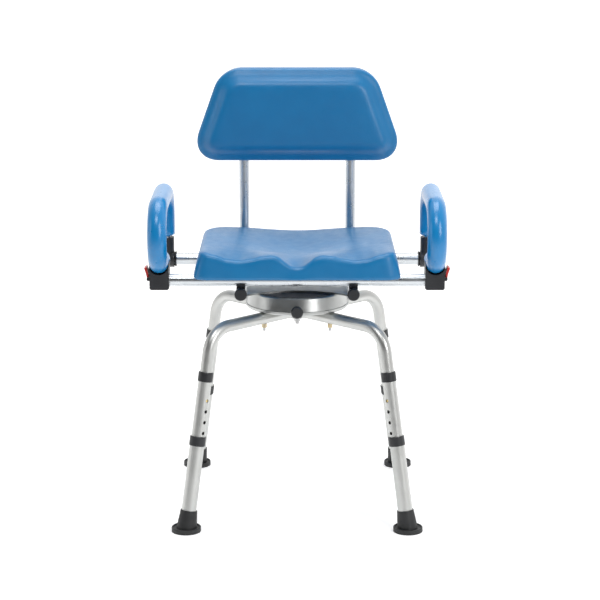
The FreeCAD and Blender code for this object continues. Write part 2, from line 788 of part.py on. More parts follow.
def make_seat_pad():
    """A plain block of the moulded seat: wider at its foot than at its top."""
    body = new_body("seat_pad")
    low = new_sketch(body, "XY", SEAT_LOW)
    draw_rounded(low, "seat_width / 2", "seat_front", "seat_rear", "24")
    high = new_sketch(body, "XY", "seat_high - 10")
    draw_rounded(high, "seat_width / 2 - 11", "seat_front + 3", "seat_rear - 4", "24")
    loft = body.newObject("PartDesign::AdditiveLoft", "seat_pad_loft")
    loft.Profile = low
    loft.Sections = [high]
    top = new_sketch(body, "XY", "seat_high - 10")
    draw_rounded(top, "seat_width / 2 - 11", "seat_front + 3", "seat_rear - 4", "24")
    crown = pad(body, top, "10")
    crown.TaperAngle = -30


def make_back_pad():
    """A plain block of the moulded back, with sockets for the uprights."""
    body = new_body("back_pad")
    face = new_sketch(body, "XZ", "-back_rear")
    widest = "back_low + 52"
    half = "back_width / 2"
    points = [
        (f"-({half}) + 54", "back_low"),
        (f"{half} - 54", "back_low"),
        (f"{half} - 16", "back_low + 16"),
        (half, widest),
        (f"{half} - 40", "back_high - 30"),
        (f"{half} - 86", "back_high"),
        (f"-({half}) + 86", "back_high"),
        (f"-({half}) + 40", "back_high - 30"),
        (f"-({half})", widest),
        (f"-({half}) + 16", "back_low + 16"),
    ]
    draw_outline(face, points)
    pad(body, face, "back_rear - back_front")
    sockets = new_sketch(body, "XY", "back_low - 5")
    for side in ("", "-"):
        draw_circle(sockets, "rail_od / 2 + 0.2", f"{side}rail_x", "upright_y")
    pocket(body, sockets, "upright_top - back_low + 6", backwards=True)
    edges = ("back_front", "back_rear")
    flat = [value(edge) for edge in edges]

    def outline_edge(edge):
        box = edge.BoundBox
        level = [abs(box.YMin - y) < 0.01 and abs(box.YMax - y) < 0.01 for y in flat]
        return any(level)

    round_edges(body, "9", outline_edge)


# ---- arms -----------------------------------------------------------------


def arm_corners(start_z):
    """The arm's route in the Y-Z plane: up, along the top, round the front, back below."""
    front = "arm_front - arm_loop"
    return [
        ("cross_y", start_z),
        ("cross_y", ARM_TOP),
        (front, ARM_TOP),
        (front, ARM_LOW),
        ("arm_end", ARM_LOW),
    ]


ARM_LOW = "(cross_z + leg_od / 2 + arm_rise + sleeve_od / 2)"
ARM_TOP = f"({ARM_LOW} + 2 * arm_loop)"
ARM_BENDS = ["arm_bend", "arm_loop - 0.05", "arm_loop - 0.05"]


def make_arm_tube(name, side):
    body = new_body(f"arm_tube_{name}")
    spine = new_sketch(body, "YZ")
    draw_route(spine, arm_corners("cross_z + block_radius + 4"), ARM_BENDS)
    section = new_sketch(body, "XY", "cross_z + block_radius + 4")
    draw_circle(section, "rail_od / 2", "0", "cross_y")
    draw_circle(section, "rail_od / 2 - rail_wall", "0", "cross_y")
    sweep(body, section, spine)
    body.setExpression("Placement.Base.x", bound(f"{side} * arm_x"))


def make_arm_sleeve(name, side):
    """The padded sleeve over the arm tube, closed over the tube's lower end."""
    body = new_body(f"arm_sleeve_{name}")
    spine = new_sketch(body, "YZ")
    draw_route(spine, arm_corners("sleeve_start"), ARM_BENDS)
    section = new_sketch(body, "XY", "sleeve_start")
    draw_circle(section, "sleeve_od / 2", "0", "cross_y")
    draw_circle(section, "rail_od / 2 + 0.1", "0", "cross_y")
    sweep(body, section, spine)
    end = new_sketch(body, "XZ", "-arm_end")
    draw_circle(end, "sleeve_od / 2", "0", ARM_LOW)
    pad(body, end, "4", backwards=True)
    body.setExpression("Placement.Base.x", bound(f"{side} * arm_x"))


def make_arm_pivot(name, side):
    """The moulded block that turns on the rear cross tube and carries the arm tube."""
    body = new_body(f"arm_pivot_{name}")
    barrel = new_sketch(body, "YZ")
    draw_circle(barrel, "block_radius", "cross_y", "cross_z")
    pad(body, barrel, "block_depth", symmetric=True)
    post = new_sketch(body, "XY", "cross_z")
    draw_circle(post, "block_depth / 2", "0", "cross_y")
    pad(body, post, "sleeve_start - cross_z - 4")
    bore = new_sketch(body, "YZ", f"{side} * ((rear_half) + 0.5 - arm_x)")
    draw_circle(bore, "leg_od / 2 + 0.1", "cross_y", "cross_z")
    pocket(body, bore, "block_depth + 20", backwards=side < 0)
    socket = new_sketch(body, "XY", "sleeve_start + 20")
    draw_circle(socket, "rail_od / 2", "0", "cross_y")
    pocket(body, socket, "sleeve_start + 20 - cross_z - block_radius - 4")
    body.setExpression("Placement.Base.x", bound(f"{side} * arm_x"))


def make_rear_hubs():
    """Fixed bushes on the rear cross tube, inboard of the arm pivots."""
    body = new_body("rear_hubs")
    section = new_sketch(body, "XY")
    inner = "arm_x - block_depth / 2 - 5"
    outer = "arm_x - block_depth / 2 - 0.3"
    step = "leg_od / 2"
    wide = "leg_od / 2 + 3.8"
    for side in ("", "-"):
        points = [
            (f"{side}({inner})", f"{step}"),
            (f"{side}({inner})", wide),
            (f"{side}({inner} + 2)", wide),
            (f"{side}({outer})", "leg_od / 2 + 1.6"),
            (f"{side}({outer})", f"{step}"),
        ]
        draw_outline(section, points)
    revolve(body, section, "H_Axis")
    body.setExpression("Placement.Base.y", bound("cross_y"))
    body.setExpression("Placement.Base.z", bound("cross_z"))


def make_bracket(name, side):
    """The rest at the end of the front cross tube: a cup for the lowered arm."""
    inner = "arm_x - 21.2"
    outer = "arm_x + 21.2"
    face = "arm_x + 19.3"
    points = [
        (f"{side} * ({inner} + 3)", "bracket_low"),
        (f"{side} * ({face} - 3)", "bracket_low"),
        (f"{side} * ({face})", "bracket_low + 3"),
        (f"{side} * ({face})", f"{ARM_LOW} - 20"),
        (f"{side} * ({outer})", f"{ARM_LOW} - 15"),
        (f"{side} * ({outer})", f"{ARM_LOW} - 7"),
        (f"{side} * ({outer} - 6)", f"{ARM_LOW} - 7"),
        (f"{side} * ({outer} - 12)", f"{ARM_LOW} + 2"),
        (f"{side} * ({inner} + 5)", f"{ARM_LOW} + 2"),
        (f"{side} * ({inner})", f"{ARM_LOW} + 2"),
        (f"{side} * ({inner})", "bracket_low + 3"),
    ]
    body = new_body(f"bracket_{name}")
    section = new_sketch(body, "XZ", "cross_y - bracket_depth / 2")
    draw_outline(section, points)
    pad(body, section, "bracket_depth")
    cup = new_sketch(body, "XZ", "cross_y - bracket_depth")
    draw_circle(cup, "sleeve_od / 2 + 0.4", f"{side} * arm_x", ARM_LOW)
    pocket(body, cup, "3 * bracket_depth", backwards=True)
    ears = new_sketch(body, "XZ", "cross_y - latch_width / 2 - 4.3")
    points = [
        (f"{side} * ({face} - 1)", "latch_z - 4"),
        (f"{side} * (latch_x + 1.5)", "latch_z - 4"),
        (f"{side} * (latch_x + 3)", "latch_z - 1.5"),
        (f"{side} * (latch_x + 3)", "latch_z + 1.5"),
        (f"{side} * (latch_x + 1.5)", "latch_z + 3.5"),
        (f"{side} * ({face} - 1)", "latch_z + 3.5"),
    ]
    draw_outline(ears, points)
    pad(body, ears, "latch_width + 8.6")
    gap = new_sketch(body, "XZ", "cross_y - latch_width / 2 - 0.3")
    left, right = f"{side} * ({face})", f"{side} * (latch_x + 10)"
    draw_outline(
        gap,
        [(left, "latch_z - 9"), (right, "latch_z - 9"), (right, "latch_z + 8"), (left, "latch_z + 8")],
    )
    pocket(body, gap, "latch_width + 0.6", backwards=True)
    pin_hole = new_sketch(body, "XZ", "cross_y - bracket_depth")
    draw_circle(pin_hole, "1.5", f"{side} * latch_x", "latch_z")
    pocket(body, pin_hole, "3 * bracket_depth", backwards=True)
    bore = new_sketch(body, "YZ", f"{side} * (front_half)")
    draw_circle(bore, "leg_od / 2", "-cross_y", "cross_z")
    pocket(body, bore, "front_half / 2", backwards=side < 0)


def make_latch_pins():
    """The hinge pins of both latch levers."""
    body = new_body("latch_pins")
    sketch = new_sketch(body, "XZ", "cross_y - latch_width / 2 - 4.3")
    for side in ("", "-"):
        draw_circle(sketch, "1.5", f"{side}latch_x", "latch_z")
    pad(body, sketch, "latch_width + 8.6")


def make_latch(name, side):
    """The lever beside the cup, on a hinge barrel at its foot and flared at its tip."""
    body = new_body(f"latch_{name}")
    section = new_sketch(body, "XZ", "cross_y - latch_width / 2")
    draw_circle(section, "2.6", f"{side} * latch_x", "latch_z")
    pad(body, section, "latch_width")
    blade = new_sketch(body, "XZ", "cross_y - latch_width / 2")
    points = [
        (f"{side} * (latch_x - 1)", "latch_z + 1"),
        (f"{side} * (latch_x + 2.5)", "latch_z"),
        (f"{side} * (latch_x + 4.4)", "latch_z + 10"),
        (f"{side} * (latch_x + 8.2)", "latch_z + 22"),
        (f"{side} * (latch_x + 3)", "latch_z + 24.5"),
        (f"{side} * (latch_x + 0.2)", "latch_z + 12"),
    ]
    draw_outline(blade, points)
    pad(body, blade, "latch_width")
    hole = new_sketch(body, "XZ", "cross_y - latch_width")
    draw_circle(hole, "1.56", f"{side} * latch_x", "latch_z")
    pocket(body, hole, "3 * latch_width", backwards=True)


def make_lock_plunger():
    """The spring plunger and its knob, pulled out to free the seat."""
    points = [
        ("0", "-lock_tip"),
        ("lock_pin_radius", "-lock_tip"),
        ("lock_pin_radius", "20 - knob_face"),
        ("7", "20 - knob_face"),
        ("8", "11 - knob_face"),
        ("knob_radius - 1", "9 - knob_face"),
        ("knob_radius", "7.5 - knob_face"),
        ("knob_radius", "2 - knob_face"),
        ("knob_radius - 2", "-knob_face"),
        ("0", "-knob_face"),
    ]
    body = turned("lock_plunger", points, plane="XY")
    body.setExpression("Placement.Base.z", bound(LOCK_Z))


# ---- build ----------------------------------------------------------------

for leg, heading in LEGS.items():
    make_leg(leg, heading)
make_leg_base()
make_swivel_drum()
make_swivel_hub()
make_drum_cover()
make_mount_plate()
make_rail_caps()
make_cross_tube("front_cross_tube", "-cross_y", "front_half", SADDLE_BOLT)
make_cross_tube("rear_cross_tube", "cross_y", "rear_half", SADDLE_BOLT)
make_tube_saddles()
make_saddle_bolts()
make_seat_pad()
make_back_pad()
make_rear_hubs()
make_latch_pins()
make_lock_plunger()
for hand, sign in SIDES.items():
    make_seat_rail(hand, sign)
    make_arm_tube(hand, sign)
    make_arm_sleeve(hand, sign)
    make_arm_pivot(hand, sign)
    make_bracket(hand, sign)
    make_latch(hand, sign)
doc.recompute()

used = {link.Name for obj in doc.Objects for link in obj.OutList if obj.TypeId != "App::Origin"}
nodes = [obj for obj in doc.Objects if obj.TypeId == "PartDesign::Body"]
nodes += [
    obj
    for obj in doc.Objects
    if obj.TypeId in ("Part::Cut", "Part::Compound") and obj.Name not in used
]
faults = []
for obj in doc.Objects:
    if "Invalid" in obj.State or "Error" in obj.State:
        faults.append(f"{obj.Name} is {obj.State}")
for node in nodes:
    if node.Shape.isNull() or not node.Shape.isValid() or not node.Shape.Solids:
        faults.append(f"{node.Label} has no valid solid")
if faults:
    raise RuntimeError("; ".join(faults))
os.makedirs("parts", exist_ok=True)
for node in nodes:
    node.Shape.exportStep(f"parts/{node.Label}.step")
    box = node.Shape.BoundBox
    print(
        f"{node.Label:24s} {len(node.Shape.Solids)} solid(s) {node.Shape.Volume:12.1f}"
        f"  x {box.XMin:7.1f} {box.XMax:7.1f}  y {box.YMin:7.1f} {box.YMax:7.1f}"
        f"  z {box.ZMin:6.1f} {box.ZMax:6.1f}"
    )
print(len(nodes), "nodes")
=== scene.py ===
# %% Load the chair's frame
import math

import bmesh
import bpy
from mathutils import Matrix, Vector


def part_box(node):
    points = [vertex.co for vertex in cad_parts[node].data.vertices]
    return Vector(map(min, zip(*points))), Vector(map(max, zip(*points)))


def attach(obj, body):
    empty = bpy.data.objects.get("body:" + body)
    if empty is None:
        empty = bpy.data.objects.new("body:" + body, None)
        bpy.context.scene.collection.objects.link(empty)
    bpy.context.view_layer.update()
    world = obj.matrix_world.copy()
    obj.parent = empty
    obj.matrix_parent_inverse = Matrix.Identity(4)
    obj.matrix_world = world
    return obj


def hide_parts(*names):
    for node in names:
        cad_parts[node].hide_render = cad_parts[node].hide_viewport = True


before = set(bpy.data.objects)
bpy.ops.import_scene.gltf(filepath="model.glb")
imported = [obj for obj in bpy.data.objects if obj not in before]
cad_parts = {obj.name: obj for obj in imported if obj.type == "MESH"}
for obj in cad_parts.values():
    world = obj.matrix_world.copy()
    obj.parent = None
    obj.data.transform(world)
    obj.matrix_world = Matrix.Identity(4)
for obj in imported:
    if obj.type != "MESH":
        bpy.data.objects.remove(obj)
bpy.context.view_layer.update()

# %% [markdown]
# We are going to dress a swivel bath chair. Its hard parts, such as the tubes,
# the drum and the brackets, arrive with their exact shapes, so they only need
# good finishes. Its soft parts, the seat, the back and the arm sleeves, arrive
# as plain blocks, and we model those ourselves.

# %% [markdown]
# Every piece that we make starts life as a bmesh, Blender's editable mesh. When
# it is finished it becomes an object at the origin, with its place stored in
# its points. One small helper does that, shades it smooth and hands it to the
# part of the chair that it moves with.


# %% A helper that turns a bmesh into a finished piece
def finished_piece(name, shape, finish, body):
    mesh = bpy.data.meshes.new(name)
    shape.to_mesh(mesh)
    shape.free()
    mesh.shade_smooth()
    mesh.materials.append(finish)
    piece = bpy.data.objects.new(name, mesh)
    bpy.context.scene.collection.objects.link(piece)
    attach(piece, body)
    print(name, len(mesh.polygons), "faces")
    return piece


# %% [markdown]
# Real surfaces are never perfectly even. Plastic, rubber and metal all vary a
# little in how sharply they reflect. A node group lets every finish share that
# effect: it takes a scale and two limits, and gives back a value that wanders
# between them. Only plain values leave the group, so any material can use it.


# %% The uneven sheen group
def make_uneven_sheen():
    group = bpy.data.node_groups.new("uneven_sheen", "ShaderNodeTree")
    face = group.interface
    for name, start in (("Scale", 40.0), ("Low", 0.3), ("High", 0.4)):
        face.new_socket(name, in_out="INPUT", socket_type="NodeSocketFloat").default_value = start
    face.new_socket("Value", in_out="OUTPUT", socket_type="NodeSocketFloat")
    nodes, links = group.nodes, group.links
    entry, leave = nodes.new("NodeGroupInput"), nodes.new("NodeGroupOutput")
    place = nodes.new("ShaderNodeTexCoord")
    cloud = nodes.new("ShaderNodeTexNoise")
    cloud.inputs["Detail"].default_value = 4.0
    spread = nodes.new("ShaderNodeMapRange")
    spread.inputs["From Min"].default_value = 0.3
    spread.inputs["From Max"].default_value = 0.7
    links.new(place.outputs["Object"], cloud.inputs["Vector"])
    links.new(entry.outputs["Scale"], cloud.inputs["Scale"])
    links.new(cloud.outputs["Fac"], spread.inputs["Value"])
    links.new(entry.outputs["Low"], spread.inputs["To Min"])
    links.new(entry.outputs["High"], spread.inputs["To Max"])
    links.new(spread.outputs["Result"], leave.inputs["Value"])
    return group


uneven_sheen = make_uneven_sheen()
print("group", uneven_sheen.name)

# %% [markdown]
# The second shared effect is a fine grain, the tiny hills and dips that a mould
# or a polishing wheel leaves. It mixes a cell pattern with a fine cloud, and
# gives back a height that a Bump node can use.


# %% The fine grain group
def make_fine_grain():
    group = bpy.data.node_groups.new("fine_grain", "ShaderNodeTree")
    face = group.interface
    face.new_socket("Scale", in_out="INPUT", socket_type="NodeSocketFloat").default_value = 900.0
    face.new_socket("Pebble", in_out="INPUT", socket_type="NodeSocketFloat").default_value = 0.5
    face.new_socket("Height", in_out="OUTPUT", socket_type="NodeSocketFloat")
    nodes, links = group.nodes, group.links
    entry, leave = nodes.new("NodeGroupInput"), nodes.new("NodeGroupOutput")
    place = nodes.new("ShaderNodeTexCoord")
    pebbles = nodes.new("ShaderNodeTexVoronoi")
    pebbles.feature = "SMOOTH_F1"
    cloud = nodes.new("ShaderNodeTexNoise")
    cloud.inputs["Detail"].default_value = 3.0
    blend = nodes.new("ShaderNodeMix")
    links.new(place.outputs["Object"], pebbles.inputs["Vector"])
    links.new(place.outputs["Object"], cloud.inputs["Vector"])
    links.new(entry.outputs["Scale"], pebbles.inputs["Scale"])
    links.new(entry.outputs["Scale"], cloud.inputs["Scale"])
    links.new(entry.outputs["Pebble"], blend.inputs["Factor"])
    links.new(cloud.outputs["Fac"], blend.inputs["A"])
    links.new(pebbles.outputs["Distance"], blend.inputs["B"])
    links.new(blend.outputs["Result"], leave.inputs["Height"])
    return group


fine_grain = make_fine_grain()
print("group", fine_grain.name)

# %% [markdown]
# A finish starts with the same few nodes each time: a Principled shader, uneven
# sheen into Roughness, and grain through a Bump node into Normal. The values
# that are the same all over a surface, such as Metallic or Coat Weight, are set
# on the shader itself. The base colour wanders gently between two shades, in
# patches a few centimetres wide, because no moulding or tube is dyed or rolled
# quite evenly. A helper keeps the wiring in one place for all the finishes.


# %% A helper for the basic finish
SHEEN_SCALE = 60.0
TINT_SCALE = 22.0


def place_group(nodes, group, **values):
    """A node group in a material, with its inputs set."""
    placed = nodes.new("ShaderNodeGroup")
    placed.node_tree = group
    for socket, value in values.items():
        placed.inputs[socket].default_value = value
    return placed


def basic_finish(name, shade, deeper, roughness, grain, bump, metal=0.0, **settings):
    finish = bpy.data.materials.new(name)
    finish.use_nodes = True
    nodes, links = finish.node_tree.nodes, finish.node_tree.links
    skin = nodes["Principled BSDF"]
    skin.inputs["Metallic"].default_value = metal
    for socket, value in settings.items():
        skin.inputs[socket.replace("_", " ")].default_value = value
    sheen = place_group(nodes, uneven_sheen, Scale=SHEEN_SCALE, Low=roughness[0], High=roughness[1])
    links.new(sheen.outputs["Value"], skin.inputs["Roughness"])
    tint = place_group(nodes, uneven_sheen, Scale=TINT_SCALE, Low=0.0, High=1.0)
    colour = nodes.new("ShaderNodeMix")
    colour.data_type = "RGBA"
    colour.inputs["A"].default_value = (*shade, 1.0)
    colour.inputs["B"].default_value = (*deeper, 1.0)
    links.new(tint.outputs["Value"], colour.inputs["Factor"])
    links.new(colour.outputs["Result"], skin.inputs["Base Color"])
    fine = place_group(nodes, fine_grain, Scale=grain[0], Pebble=grain[1])
    hills = nodes.new("ShaderNodeBump")
    hills.inputs["Strength"].default_value = bump[0]
    hills.inputs["Distance"].default_value = bump[1]
    links.new(fine.outputs["Height"], hills.inputs["Height"])
    links.new(hills.outputs["Normal"], skin.inputs["Normal"])
    return finish


print("basic finish ready")

# %% [markdown]
# The chair has three silvers. The legs are satin, so their reflections are wide
# and soft. The cross tubes, rails and uprights are closer to polished, with
# bright and dark lines along them. The pressed drum is a duller grey. Metal gets
# its look from what it mirrors, so its bump is kept very faint: a strong grain
# on a thin tube would break the reflections into specks. The small hardware is
# steel, yellow zinc and brass.

# %% Metal finishes
satin_leg = basic_finish(
    "satin_leg", (0.60, 0.605, 0.59), (0.55, 0.555, 0.54), (0.36, 0.44), (1400, 0.1), (0.01, 0.0002), 1.0
)
bright_tube = basic_finish(
    "bright_tube", (0.64, 0.67, 0.69), (0.60, 0.63, 0.66), (0.26, 0.32), (1600, 0.1), (0.002, 0.0001), 1.0
)
drum_silver = basic_finish(
    "drum_silver", (0.56, 0.57, 0.56), (0.50, 0.51, 0.50), (0.28, 0.38), (1100, 0.1), (0.05, 0.0003), 1.0
)
bolt_steel = basic_finish(
    "bolt_steel", (0.62, 0.62, 0.62), (0.52, 0.52, 0.52), (0.25, 0.38), (1500, 0.1), (0.08, 0.0003), 1.0
)
zinc_yellow = basic_finish(
    "zinc_yellow", (0.72, 0.58, 0.34), (0.58, 0.50, 0.36), (0.30, 0.42), (1500, 0.1), (0.08, 0.0003), 1.0
)
snap_brass = basic_finish(
    "snap_brass", (0.78, 0.60, 0.26), (0.66, 0.50, 0.22), (0.25, 0.36), (1500, 0.1), (0.05, 0.0003), 1.0
)
print("silver, steel, zinc and brass")

# %% [markdown]
# Moulded plastic has a fine spark-eroded texture that softens its shine. The
# black pieces are very dark but never pure black, and the latch levers are a
# clear red. The feet are rubber of nearly the same black, duller than the
# plastic.

# %% Plastic and rubber finishes
black_plastic = basic_finish(
    "black_plastic", (0.014, 0.015, 0.018), (0.021, 0.022, 0.025), (0.34, 0.46), (1500, 0.6), (0.15, 0.0004)
)
red_plastic = basic_finish(
    "red_plastic", (0.70, 0.040, 0.030), (0.60, 0.030, 0.024), (0.28, 0.40), (1500, 0.6), (0.10, 0.0004)
)
foot_rubber = basic_finish(
    "foot_rubber", (0.020, 0.021, 0.022), (0.013, 0.014, 0.015), (0.50, 0.66), (900, 0.5), (0.20, 0.0006)
)
bearing_plastic = basic_finish(
    "bearing_plastic", (0.06, 0.06, 0.065), (0.04, 0.04, 0.045), (0.45, 0.6), (1300, 0.5), (0.10, 0.0004)
)
print("plastic and rubber")

# %% [markdown]
# The seat and back are integral-skin foam: it is poured into a mould, and its
# outside sets to a closed, leathery skin with fine pebbles. Its colour is a deep
# blue that turns pale where the light skims over the pebbles, and the shader's
# Sheen does that without any painted light. The arm sleeves are a smoother,
# stronger blue, and a thin clear coat gives them their gloss.

# %% Foam finishes
seat_skin = basic_finish(
    "seat_skin",
    (0.003, 0.172, 0.405),
    (0.002, 0.155, 0.375),
    (0.33, 0.43),
    (480, 0.25),
    (0.32, 0.0007),
    Specular_IOR_Level=0.55,
    Sheen_Weight=0.42,
    Sheen_Roughness=0.20,
)
sleeve_skin = basic_finish(
    "sleeve_skin",
    (0.003, 0.215, 0.52),
    (0.002, 0.200, 0.49),
    (0.27, 0.31),
    (900, 0.2),
    (0.01, 0.0002),
    Coat_Weight=0.40,
    Coat_Roughness=0.26,
)
print("seat skin and sleeve skin")

# %% [markdown]
# Now each hard part gets its finish. The parts' names say what they are, so a
# short table from the start of a name to a finish is all that we need. Only the
# material slot is changed; the meshes arrive exact and are left alone.

# %% Dress the hard parts
FINISH_BY_NAME = {
    "leg_tube": satin_leg,
    "mid_tube": satin_leg,
    "lower_tube": satin_leg,
    "mid_collar": black_plastic,
    "lower_collar": black_plastic,
    "leg_button": snap_brass,
    "boot": foot_rubber,
    "base_pan": drum_silver,
    "swivel_drum": drum_silver,
    "mount_plate": drum_silver,
    # The drum cover's black is partly its own colour and partly painted shade: it darkens the shaded gap
    # between the drum and the mount plate.
    "drum_cover": black_plastic,
    "index_ring": bearing_plastic,
    "swivel_hub": bearing_plastic,
    "leg_bolts": bolt_steel,
    "leg_nuts": zinc_yellow,
    "pivot": bolt_steel,
    "saddle_bolts": bolt_steel,
    "latch_pins": black_plastic,
    "latch_left": red_plastic,
    "latch_right": red_plastic,
    "seat_rail": bright_tube,
    "front_cross": bright_tube,
    "rear_cross": bright_tube,
    "arm_tube": bright_tube,
    "rail_caps": black_plastic,
    "tube_saddles": black_plastic,
    "rear_hubs": black_plastic,
    "lock_plunger": black_plastic,
    "bracket": black_plastic,
    "arm_pivot": black_plastic,
}
dressed = []
for name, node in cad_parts.items():
    for start, finish in FINISH_BY_NAME.items():
        if name.startswith(start):
            node.data.materials.clear()
            node.data.materials.append(finish)
            dressed.append(name)
print(len(dressed), "of", len(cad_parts), "parts dressed")

# %% [markdown]
# The soft pieces need an even, dense skin of small faces before they can be
# shaped by hand. Blender's voxel Remesh modifier makes one from any closed
# shape. We run it on a scratch object, take the result back into a bmesh, and
# relax it a few times so that the little steps it leaves melt away. Moulded foam
# keeps its shape, so no cloth simulation is needed: we move the points ourselves.


# %% Helpers that give a shape a dense even skin
def relax(shape, rounds):
    """Draw every point halfway to the middle of its neighbours, a few times."""
    for _ in range(rounds):
        bmesh.ops.smooth_vert(
            shape, verts=shape.verts, factor=0.5, use_axis_x=True, use_axis_y=True, use_axis_z=True
        )


def dense_skin(shape, voxel, rounds):
    mesh = bpy.data.meshes.new("scratch")
    shape.to_mesh(mesh)
    shape.free()
    scratch = bpy.data.objects.new("scratch", mesh)
    bpy.context.scene.collection.objects.link(scratch)
    remesh = scratch.modifiers.new("remesh", "REMESH")
    remesh.mode = "VOXEL"
    remesh.voxel_size = voxel
    bpy.context.view_layer.update()
    seen = scratch.evaluated_get(bpy.context.evaluated_depsgraph_get())
    dense = bmesh.new()
    dense.from_mesh(seen.to_mesh())
    seen.to_mesh_clear()
    bpy.data.objects.remove(scratch)
    bpy.data.meshes.remove(mesh)
    relax(dense, rounds)
    bmesh.ops.recalc_face_normals(dense, faces=dense.faces)
    return dense


print("dense skin ready")

# %% [markdown]
# The seat starts as a box. Its foot is wider than its top, its upright edges
# are rounded, more at the rear than at the front, and its top edge is rolled.
# A cube, four moved corners and three bevels give all of that, and the size of
# the cube comes from the plain block that it replaces.


# %% The seat's plain block
SIDE_TAPER = 0.013
FRONT_TAPER = 0.004
REAR_TAPER = 0.005
FRONT_CORNER = 0.026
REAR_CORNER = 0.050
TOP_ROLL = 0.008
HAIR = 0.0001


def edges_along(shape, axis):
    """The edges that run mostly along one axis."""
    chosen = []
    for edge in shape.edges:
        way = edge.verts[1].co - edge.verts[0].co
        if abs(way[axis]) > 0.8 * way.length:
            chosen.append(edge)
    return chosen


def points_in(geom):
    return [item for item in geom if isinstance(item, bmesh.types.BMVert)]


def edges_in(geom):
    return [item for item in geom if isinstance(item, bmesh.types.BMEdge)]


def soften(shape, edges, width, segments):
    """Round some edges off."""
    bmesh.ops.bevel(
        shape,
        geom=edges,
        offset=width,
        segments=segments,
        profile=0.5,
        affect="EDGES",
        material=-1,
    )


def seat_block():
    foot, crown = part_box("seat_pad")
    shape = bmesh.new()
    bmesh.ops.create_cube(shape, size=1.0)
    middle = (foot + crown) / 2
    bmesh.ops.scale(shape, vec=crown - foot, verts=shape.verts)
    bmesh.ops.translate(shape, vec=middle, verts=shape.verts)
    top = [v for v in shape.verts if v.co.z > middle.z]
    for vert in top:
        vert.co.x *= 1 - SIDE_TAPER / crown.x
        vert.co.y += FRONT_TAPER if vert.co.y < middle.y else -REAR_TAPER
    front_edges = [e for e in edges_along(shape, 2) if e.verts[0].co.y < middle.y]
    soften(shape, front_edges, FRONT_CORNER, 8)
    rear_edges = [e for e in edges_along(shape, 2) if e.verts[0].co.y > middle.y]
    soften(shape, rear_edges, REAR_CORNER, 10)
    rim = [e for e in shape.edges if min(v.co.z for v in e.verts) > crown.z - HAIR]
    soften(shape, rim, TOP_ROLL, 4)
    print("seat block", len(shape.faces), "faces")
    return shape


# %% [markdown]
# A person's thighs lie in two shallow valleys at the front of the seat, with a
# deeper notch between them, and the seat behind is a gentle dish. We describe
# the height of the front edge with a smooth curve through a few heights, from
# the middle outwards, and let it fade into the dish towards the rear. Each point
# of the block's skin is then lifted or lowered in proportion to how high it
# stands. A formula keeps both halves of the seat alike, which brushing the
# points by hand would not.

# %% The seat's carved top
# Distance from the middle of the front edge, and the height there.
FRONT_EDGE = [
    (0.000, 0.5455),
    (0.012, 0.5475),
    (0.025, 0.5575),
    (0.037, 0.5675),
    (0.050, 0.5710),
    (0.072, 0.5690),
    (0.095, 0.5635),
    (0.119, 0.5600),
    (0.143, 0.5625),
    (0.168, 0.5710),
    (0.190, 0.5765),
    (0.215, 0.5780),
]
FRONT_REACH = 0.42
DISH_RIM = 0.5700
RIM_SAG, SAG_WIDTH = 0.0085, 0.10
BOWL_DEPTH, BOWL_HALF_WIDTH = 0.0135, 0.20
BOWL_MIDDLE, BOWL_REACH = 0.45, 0.55


def smooth(x):
    """Rise from 0 to 1 with level ends."""
    x = min(max(x, 0.0), 1.0)
    return x * x * (3 - 2 * x)


def front_height(across):
    across = abs(across)
    for (x0, z0), (x1, z1) in zip(FRONT_EDGE, FRONT_EDGE[1:]):
        if across <= x1:
            return z0 + (z1 - z0) * smooth((across - x0) / (x1 - x0))
    return FRONT_EDGE[-1][1]


def dish_height(across, back):
    """Height of the dish; back runs from 0 at the front edge to 1 at the rear."""
    rim = DISH_RIM - RIM_SAG * math.exp(-((across / SAG_WIDTH) ** 2))
    sideways = 1 - smooth(abs(across) / BOWL_HALF_WIDTH)
    lengthways = 1 - smooth(abs(back - BOWL_MIDDLE) / BOWL_REACH)
    return rim - BOWL_DEPTH * sideways * lengthways


def carve_seat(shape):
    foot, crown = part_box("seat_pad")
    depth = crown.y - foot.y
    for vert in shape.verts:
        back = (vert.co.y - foot.y) / depth
        front = 1 - smooth(back / FRONT_REACH)
        top = front * front_height(vert.co.x) + (1 - front) * dish_height(vert.co.x, back)
        share = (vert.co.z - foot.z) / (crown.z - foot.z)
        vert.co.z = foot.z + share * (top - foot.z)


seat_shape = dense_skin(seat_block(), 0.004, 2)
carve_seat(seat_shape)
relax(seat_shape, 4)
seat = finished_piece("seat", seat_shape, seat_skin, "turntable")
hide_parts("seat_pad")

# %% [markdown]
# The back is a flat-topped trapezoid with big round corners. Round its edge
# runs a flange, and inside that the foam rises in a soft step to a raised
# pillow. We draw the four corners, round them with a bevel, and then inset and
# push the front face several times, which is how a stepped form is easily made.
# The rear face gets the same treatment with smaller steps, for its round rim.


# %% The back's stepped block
HALF_TOP, HALF_FOOT = 0.1665, 0.2385
TOP_CORNER, FOOT_CORNER = 0.044, 0.066
RIM_Y = 0.1755
# How far in and how far out each ring goes.
FLANGE_STEPS = [(0.003, 0.0030), (0.005, 0.0010), (0.003, 0.0010)]
PILLOW_STEPS = [(0.005, 0.0035), (0.006, 0.0055), (0.006, 0.0055), (0.006, 0.0030), (0.007, 0.0010)]
REAR_STEPS = [(0.002, 0.003), (0.004, 0.002), (0.008, 0.001)]


def step_out(shape, face, steps):
    """Inset a face and push it out, once for each step."""
    for thickness, depth in steps:
        bmesh.ops.inset_region(shape, faces=[face], thickness=thickness, depth=depth, use_even_offset=True)


